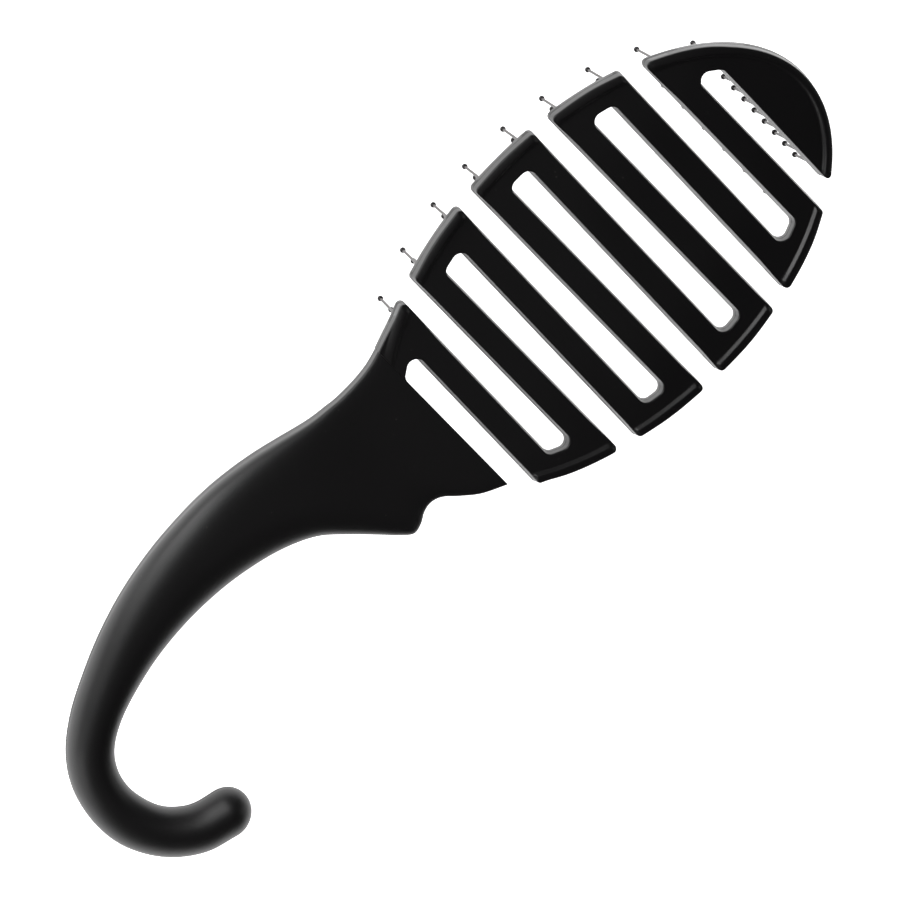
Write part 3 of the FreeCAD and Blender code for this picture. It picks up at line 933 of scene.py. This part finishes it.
# ------------------------------------------------------------------ handle
@dataclass
class Handle:
    """The handle, its hook and the root of the head, as two half shells on one parting line.

    Both sides of the handle are smooth curves through pairs of facing points, from the first
    slot to the hook's end, and each cross-section is a super-oval on the line between them.
    """

    plan: Plan
    wardrobe: Wardrobe
    stations: int = 420
    around: int = 56
    dome_steps: int = 18
    end_radius: float = 6.3 * MM
    slot_edge_round: float = 0.42 * MM
    web_starts: float = 17.0 * MM
    web_fade: float = 0.8 * MM
    wall_top: tuple[float, float] = (0.9 * MM, 1.8 * MM)
    lip: float = 0.11 * MM

    # facing points: x and y on the outer side, x and y on the finger side, in millimetres
    PAIRS = (
        (-58.5, 23.5, -60.0, -19.2), (-62.0, 22.8, -64.2, -16.0),
        (-66.0, 22.4, -67.4, -13.2), (-70.0, 22.3, -70.2, -12.3), (-73.0, 22.5, -72.9, -12.9),
        (-76.0, 22.7, -75.6, -14.6), (-79.0, 23.1, -78.4, -15.2), (-82.5, 23.8, -81.3, -12.9),
        (-87.0, 24.8, -84.8, -9.3), (-93.1, 26.0, -89.6, -4.5), (-100.0, 26.9, -95.2, 0.4),
        (-107.9, 27.3, -101.8, 3.5), (-116.9, 26.8, -109.9, 5.6), (-127.3, 25.3, -120.0, 6.8),
        (-138.3, 22.5, -131.1, 6.6), (-148.9, 18.4, -141.9, 5.0), (-158.8, 13.3, -151.3, 2.3),
        (-167.4, 7.9, -159.2, -1.0), (-174.4, 1.5, -165.0, -5.1), (-179.0, -6.1, -168.1, -9.9),
        (-181.0, -15.0, -169.1, -15.3), (-180.4, -23.4, -168.2, -20.6),
        (-177.3, -30.6, -166.3, -24.7), (-172.5, -36.3, -163.4, -27.6),
        (-166.0, -40.4, -160.0, -29.4), (-158.4, -42.2, -154.8, -30.4),
    )
    # at some of those pairs: height over and under the parting line, and how square the
    # section is on its smooth side and on its finger side
    SECTIONS = (
        (0, 2.60, 1.90, 15.0, 15.0), (2, 2.60, 1.90, 14.0, 11.0), (4, 2.80, 2.15, 12.0, 7.0),
        (6, 3.35, 2.75, 9.5, 5.0), (8, 4.20, 3.60, 7.0, 4.0), (10, 5.25, 4.65, 4.8, 3.2),
        (12, 6.20, 5.60, 3.4, 2.7), (14, 6.80, 6.15, 2.7, 2.35), (17, 6.60, 5.95, 2.3, 2.2),
        (20, 6.25, 5.55, 2.15, 2.1), (24, 6.20, 5.50, 2.05, 2.05), (26, 6.60, 5.90, 2.0, 2.0),
    )
    ROOT_FINGER_Y = -22.0

    def _root_row(self) -> tuple[float, float, float, float]:
        """Both ends of the neck's edge at the first slot, where it meets the first web."""
        finger_y = self.ROOT_FINGER_Y * MM
        x = self.plan.edge_x(0, 1, 0.0)
        for _ in range(4):
            smooth_y = float(self.plan.half_at(x) + self.plan.flare(x))
            x = self.plan.edge_x(0, 1, smooth_y)
        return x, smooth_y, self.plan.edge_x(0, 1, finger_y), finger_y

    def _sides(self) -> tuple[Array, Array, Array]:
        """Facing points of both sides at every station, with their place among the pairs."""
        root = self._root_row()
        pairs = np.concatenate([[root], np.array(self.PAIRS) * MM])
        last = len(pairs) - 1
        edge = np.array([0.0, 0.02, 0.045, 0.08, 0.12, 0.18])
        at = np.concatenate([edge, np.linspace(0.25, last, self.stations)])
        both = curve_through(pairs, at)
        return both[:, :2], both[:, 2:], at

    def _profile(self, at: Array) -> tuple[Array, Array, Array, Array]:
        """Height over, height under and both squarenesses of the section at each station."""
        table = np.array(self.SECTIONS)
        dense = np.arange(0, table[-1, 0] + 0.5, 0.5)
        columns = [np.interp(dense, table[:, 0], table[:, n]) for n in (1, 2, 3, 4)]
        soften = np.array([1.0, 2.0, 3.0, 2.0, 1.0]) / 9.0
        eased = [np.convolve(np.pad(c, 2, mode="edge"), soften, mode="valid") for c in columns]
        over, under, smooth_side, finger_side = [np.interp(at, dense, c) for c in eased]
        return over * MM, under * MM, smooth_side, finger_side

    def _dome(self, outer: Array, inner: Array, over: Array, under: Array) -> tuple:
        """Round off the hook: sections that shrink as the cosine while they run on as the sine."""
        angle = np.linspace(0.0, math.pi / 2, self.dome_steps)[1:]
        middle = (outer[-1] + inner[-1]) / 2
        half = (outer[-1] - inner[-1]) / 2
        ahead = (outer[-1] + inner[-1] - outer[-4] - inner[-4])
        ahead = ahead / np.linalg.norm(ahead)
        forward = middle + np.sin(angle)[:, None] * ahead * self.end_radius
        shrink = np.clip(np.cos(angle), 0.02, 1.0)[:, None]
        shrink_z = shrink[:, 0]
        return (forward + half * shrink, forward - half * shrink,
                over[-1] * shrink_z, under[-1] * shrink_z)

    def rings(self, layer: Layer) -> Array:
        """Cross-sections of one shell, from the first slot to the hook's end.

        A section is half a super-oval: with the angle f from one side to the other, it lies
        |cos f|^(2/n) of the half width out and |sin f|^(2/n) of the height up, where n is the
        squareness of the side that it is on.

        Args:
            layer: the back shell or the pin-side shell.

        Returns:
            Points as (station, place round the ring, 3).
        """
        outer, inner, at = self._sides()
        over, under, smooth_side, finger_side = self._profile(at)
        end = self._dome(outer, inner, over, under)
        outer, inner = np.concatenate([outer, end[0]]), np.concatenate([inner, end[1]])
        over, under = np.concatenate([over, end[2]]), np.concatenate([under, end[3]])
        smooth_side = np.pad(smooth_side, (0, len(end[2])), mode="edge")[:, None]
        finger_side = np.pad(finger_side, (0, len(end[2])), mode="edge")[:, None]
        angle = np.linspace(0.0, math.pi, self.around)[None, :]
        power = 2.0 / np.where(angle < math.pi / 2, smooth_side, finger_side)
        out = np.sign(np.cos(angle)) * np.abs(np.cos(angle)) ** power
        up = np.abs(np.sin(angle)) ** power
        half = (outer - inner) / 2
        middle = (outer + inner) / 2
        wide = np.linalg.norm(half, axis=1, keepdims=True)
        lip = np.ones_like(out)
        lip[:, :1] = lip[:, -1:] = 1.0 - np.minimum(self.lip / wide, 0.2)
        x = middle[:, :1] + half[:, :1] * out * lip
        y = middle[:, 1:] + half[:, 1:] * out * lip
        height = over if layer is Layer.BACK else -under
        rise = height[:, None] * up
        if layer is Layer.BACK:
            rise = rise - self._slot_edge(x, y, rise)
        return self.plan.place(x, y, rise)

    def _slot_edge(self, x: Array, y: Array, rise: Array) -> Array:
        """Fall of the root's top edge at the first slot: a quarter circle, none at the web."""
        distance = self.plan.edge_x(0, 1, y) - x
        share = np.clip(1.0 - distance / self.slot_edge_round, 0.0, 1.0)
        fade = self.web_fade
        free = 1.0 - smooth_step(y, self.web_starts - fade, self.web_starts + fade)
        on_top = smooth_step(rise, *self.wall_top)
        return self.slot_edge_round * (1.0 - np.sqrt(1.0 - share ** 2)) * free * on_top

    def build(self) -> list[Item]:
        """Make, dress and hang both shells.

        Returns:
            The back shell and the pin-side shell.
        """
        nodes = {Layer.BACK: "handle_back_shell", Layer.PIN_SIDE: "handle_pin_side_shell"}
        made = []
        for layer, node in nodes.items():
            piece = tube_object(node + "_skin", self.rings(layer))
            self.wardrobe.dress(piece, Slot.BACK)
            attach(piece, "handle_and_root")
            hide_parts(node)
            made.append(piece)
        return made


# ------------------------------------------------------------------ pins
@dataclass
class Pins:
    """The nylon pins and their dipped ends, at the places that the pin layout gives."""

    wardrobe: Wardrobe
    shaft_radius: float = 0.35 * MM
    ball_radius: float = 0.75 * MM
    length: float = 17.4 * MM
    sides: int = 8
    ball_sides: int = 12
    ball_rings: int = 9
    ball_seat: float = 0.25 * MM

    # distance along a pin and its radius there, in millimetres: a flared root and a slow taper
    SHAFT = ((-0.05, 0.62), (0.25, 0.44), (0.9, 0.37), (8.0, 0.35), (17.4, 0.33))

    @staticmethod
    def _turned(profile: Array, sides: int, foot: Array, axis: Array) -> Array:
        """Spin a profile round every pin's axis: (pins, rings, sides, 3) points.

        Args:
            profile: rows of (distance along the pin, radius).
            sides: points round a ring.
            foot: where each pin starts.
            axis: each pin's unit direction.

        Returns:
            The points, of every pin at once.
        """
        angle = np.arange(sides) * 2 * math.pi / sides
        side = np.array([0.0, 1.0, 0.0])
        across = np.cross(axis, side)
        ring = (np.cos(angle)[None, :, None] * across[:, None, :]
                + np.sin(angle)[None, :, None] * side[None, None, :])
        along = foot[:, None, :] + profile[None, :, :1] * axis[:, None, :]
        return along[:, :, None, :] + profile[None, :, 1][:, :, None, None] * ring[:, None, :, :]

    def lathe(
        self, name: str, profile: Array, sides: int, foot: Array, axis: Array
    ) -> Item:
        """One object that holds the same turned shape at every pin.

        Args:
            name: the object's name.
            profile: rows of (distance along the pin, radius).
            sides: points round a ring.
            foot: where each pin starts.
            axis: each pin's unit direction.

        Returns:
            The new object.
        """
        points = self._turned(profile, sides, foot, axis)
        pins, rings = points.shape[:2]
        flip = signed_volume(points[0]) < 0
        faces: list = []
        for number in range(pins):
            faces += tube_faces(rings, sides, offset=number * rings * sides, flip=flip)
        return make_object(name, points.reshape(-1, 3), faces, sharp_degrees=50.0)

    def build(self, layout: "PinLayout") -> list[Item]:
        """Make, dress and hang the pins and ball ends of every segment.

        Args:
            layout: where the pins stand.

        Returns:
            The pieces.
        """
        shaft = np.array(self.SHAFT) * MM
        turn = np.linspace(0.0, math.pi, self.ball_rings)
        seat = math.sqrt(self.ball_radius ** 2 - self.shaft_radius ** 2)
        ball_along = self.length + seat - self.ball_radius * np.cos(turn)
        ball_out = self.ball_radius * np.maximum(np.sin(turn), 0.03)
        ball = np.stack([ball_along, ball_out], axis=1)
        ball[0] = (self.length - self.ball_seat, self.shaft_radius)
        made = []
        for word, body in layout.segments():
            foot, axis = layout.pins_of(word)
            shafts = self.lathe("pins_%s_nylon" % word, shaft, self.sides, foot, axis)
            balls = self.lathe("ball_tips_%s_dipped" % word, ball, self.ball_sides, foot, axis)
            dressed = (
                (shafts, Slot.PIN, "pins_" + word),
                (balls, Slot.BALL, "ball_tips_" + word),
            )
            for piece, slot, node in dressed:
                self.wardrobe.dress(piece, slot)
                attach(piece, body)
                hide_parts(node)
                made.append(piece)
        return made


@dataclass
class PinLayout:
    """Where the pins of each segment stand on the arched pin plate."""

    plan: Plan
    step: float = 3.8 * MM
    side_step: float = 1.3 * MM
    inset: float = 1.6 * MM
    tip_inset: float = 3.6 * MM
    root_row_step: float = 3.0 * MM
    root_rows: int = 2

    def segments(self) -> list[tuple[str, str]]:
        """Each segment's word in node names, and the body it belongs to."""
        bars = [(str(n), "bar_%d" % n) for n in range(1, BARS + 1)]
        return [("root", "handle_and_root")] + bars + [("tip", "head_tip")]

    def pins_of(self, word: str) -> tuple[Array, Array]:
        """Feet and directions of one segment's pins, square to the arch.

        Args:
            word: the segment's word in node names.

        Returns:
            Feet and unit directions, one pin a row.
        """
        if word == "root":
            places = self._root()
        elif word == "tip":
            places = self._tip()
        else:
            places = self._bar(int(word))
        turn = np.arcsin(places[:, 0] / self.plan.arch_radius)
        out = np.stack([np.sin(turn), np.zeros_like(turn), np.cos(turn)], axis=1)
        level = np.full_like(turn, -self.plan.arch_radius)
        centre = np.stack([np.zeros_like(turn), places[:, 1], level], axis=1)
        foot = centre + out * (self.plan.arch_radius - self.plan.pin_plate)
        return foot + np.array(self.plan.origin), -out

    def _bar(self, number: int) -> Array:
        """A bar's pins: on its middle line near both ends, from side to side between."""
        middle = self.plan.bar_x(number)
        reach = float(self.plan.half_at(middle)) - self.inset
        steps = round(2 * reach / self.step)
        index = np.arange(steps + 1)
        y = reach - index * 2 * reach / steps
        inside = (index >= 2) & (index <= steps - 2)
        across = np.where(inside, self.side_step * (-1.0) ** index, 0.0)
        slant = math.tan(math.radians(self.plan.lean(number)))
        return np.stack([middle + across - y * slant, y], axis=1)

    def _row(self, x: float, count: int) -> Array:
        """A row across the head at x: count + 1 pins, evenly spaced about the middle line."""
        y = (np.arange(count + 1) - count / 2) * self.step
        return np.stack([np.full_like(y, x), y], axis=1)

    def _tip(self) -> Array:
        """The tip's pins: rows across the head that shorten towards its point."""
        start = self.plan.bar_x(BARS + 1) - self.plan.bar_width / 2 + self.inset
        row_step = self.step * math.sqrt(3) / 2
        rows = []
        row = 0
        while start + row * row_step < self.plan.tip_reach - self.tip_inset:
            x = start + row * row_step
            count = int(2 * (float(self.plan.half_at(x)) - self.tip_inset) / self.step)
            count -= (count + row) % 2
            rows.append(self._row(x, count))
            row += 1
        return np.concatenate(rows)

    def _root(self) -> Array:
        """The root's pins: rows behind the first slot, each a pin shorter."""
        rows = []
        start = self.plan.edge_x(0, 1, 0.0) - self.inset
        reach = float(self.plan.half_at(start - self.root_rows * self.root_row_step)) - self.inset
        for row in range(self.root_rows):
            x = start - row * self.root_row_step
            count = int(2 * reach / self.step) - row
            rows.append(self._row(x, count))
        return np.concatenate(rows)


# ------------------------------------------------------------------ studio
@dataclass
class Studio:
    """The pale floor, the soft lights and the camera."""

    plan: Plan
    tilt: float = 18.0
    nod: float = 2.2
    roll: float = 43.74
    lens: float = 600.0
    sensor: float = 36.0
    pixels_per_metre: float = 4200.0
    frame_pixels: float = 900.0
    centre_x: float = -58.6 * MM
    centre_y: float = -5.0 * MM
    horizon: float = 1.0
    zenith: float = 0.02
    floor_size: float = 6.0
    floor_gap: float = 0.0001
    floor_glow: float = 1.6

    def axes(self) -> tuple[Vector, Vector, Vector]:
        """The view's right, up and back directions, from its tilt, nod and roll."""
        back = Vector((-math.sin(math.radians(self.nod)), math.sin(math.radians(self.tilt)), 0.0))
        back.z = math.sqrt(1.0 - back.length_squared)
        along = (Vector((1, 0, 0)) - back * back.x).normalized()
        across = back.cross(along)
        turn = math.radians(self.roll)
        right = along * math.cos(turn) - across * math.sin(turn)
        up = along * math.sin(turn) + across * math.cos(turn)
        return right, up, back

    def camera(self) -> None:
        """Place the camera far off with a long lens, so that it sees nearly in parallel."""
        right, up, back = self.axes()
        data = bpy.data.cameras.new("camera")
        data.lens = self.lens
        data.sensor_width = self.sensor
        data.clip_end = 10.0
        focal_pixels = self.lens / self.sensor * self.frame_pixels
        distance = focal_pixels / self.pixels_per_metre
        aim = Vector((self.centre_x, self.centre_y, self.plan.back_plate))
        target = Vector(self.plan.origin) + aim
        item = bpy.data.objects.new("camera", data)
        turned = Matrix((right, up, back)).transposed().to_4x4()
        item.matrix_world = Matrix.Translation(target + back * distance) @ turned
        bpy.context.scene.collection.objects.link(item)
        bpy.context.scene.camera = item

    def floor(self) -> None:
        """A wide pale sheet that also glows a little, as a lit sweep of paper does."""
        size, z = self.floor_size, CAD_BOX[0][2] - self.floor_gap
        points = np.array([(-size, -size, z), (size, -size, z), (size, size, z), (-size, size, z)])
        sheet = make_object("floor", points, [[0, 1, 2, 3]])
        material = bpy.data.materials.new("pale_paper")
        material.use_nodes = True
        shader = material.node_tree.nodes["Principled BSDF"]
        shader.inputs["Base Color"].default_value = (0.86, 0.86, 0.86, 1.0)
        shader.inputs["Roughness"].default_value = 0.9
        shader.inputs["Specular IOR Level"].default_value = 0.1
        shader.inputs["Emission Color"].default_value = (1.0, 1.0, 1.0, 1.0)
        shader.inputs["Emission Strength"].default_value = self.floor_glow
        sheet.data.materials.append(material)

    @staticmethod
    def light(name: str, place: Vector, size: float, power: float) -> None:
        """A square soft light that faces the brush.

        Args:
            name: the light's name.
            place: where it stands, from the brush's middle.
            size: its side.
            power: its power in watts.
        """
        data = bpy.data.lights.new(name, "AREA")
        data.shape = "SQUARE"
        data.size = size
        data.energy = power
        item = bpy.data.objects.new(name, data)
        turned = place.to_track_quat("Z", "Y").to_matrix().to_4x4()
        item.matrix_world = Matrix.Translation(place) @ turned
        bpy.context.scene.collection.objects.link(item)

    def sky(self) -> None:
        """A studio that is bright low down all round and dark overhead.

        The brightness falls smoothly with the height of the direction that a ray takes.
        """
        world = bpy.data.worlds.new("studio")
        world.use_nodes = True
        tree = world.node_tree
        rays = tree.nodes.new("ShaderNodeTexCoord")
        split = tree.nodes.new("ShaderNodeSeparateXYZ")
        tree.links.new(rays.outputs["Generated"], split.inputs["Vector"])
        span = (self.horizon, self.zenith)
        fall = remap(tree, split.outputs["Z"], (0.05, 0.75), span, smooth=True)
        tree.links.new(fall, tree.nodes["Background"].inputs["Strength"])
        bpy.context.scene.world = world

    def build(self) -> None:
        """Set up the whole studio."""
        self.camera()
        self.floor()
        self.light("key_from_the_left", Vector((-0.5, 2.0, 1.0)), 1.2, 22.0)
        self.light("fill_from_the_right", Vector((1.4, -1.2, 0.9)), 1.0, 3.0)
        self.light("rim_from_the_hook", Vector((-1.8, 0.2, 0.6)), 0.8, 5.0)
        self.light("high_key", Vector((-0.4, 1.0, 1.4)), 0.8, 9.0)
        self.sky()
        bpy.context.scene.view_settings.view_transform = "Standard"


def main() -> None:
    """Build the brush, piece by piece, then the studio."""
    logging.basicConfig(level=logging.INFO, format="%(message)s")
    plan = Plan.from_frame()
    wardrobe = Wardrobe()
    made = Head(plan, wardrobe).build()
    made += Handle(plan, wardrobe).build()
    made += Pins(wardrobe).build(PinLayout(plan))
    for piece in made:
        LOG.info("%s: %d faces", piece.name, len(piece.data.polygons))
    Studio(plan).build()


if __name__ == "__main__":
    main()
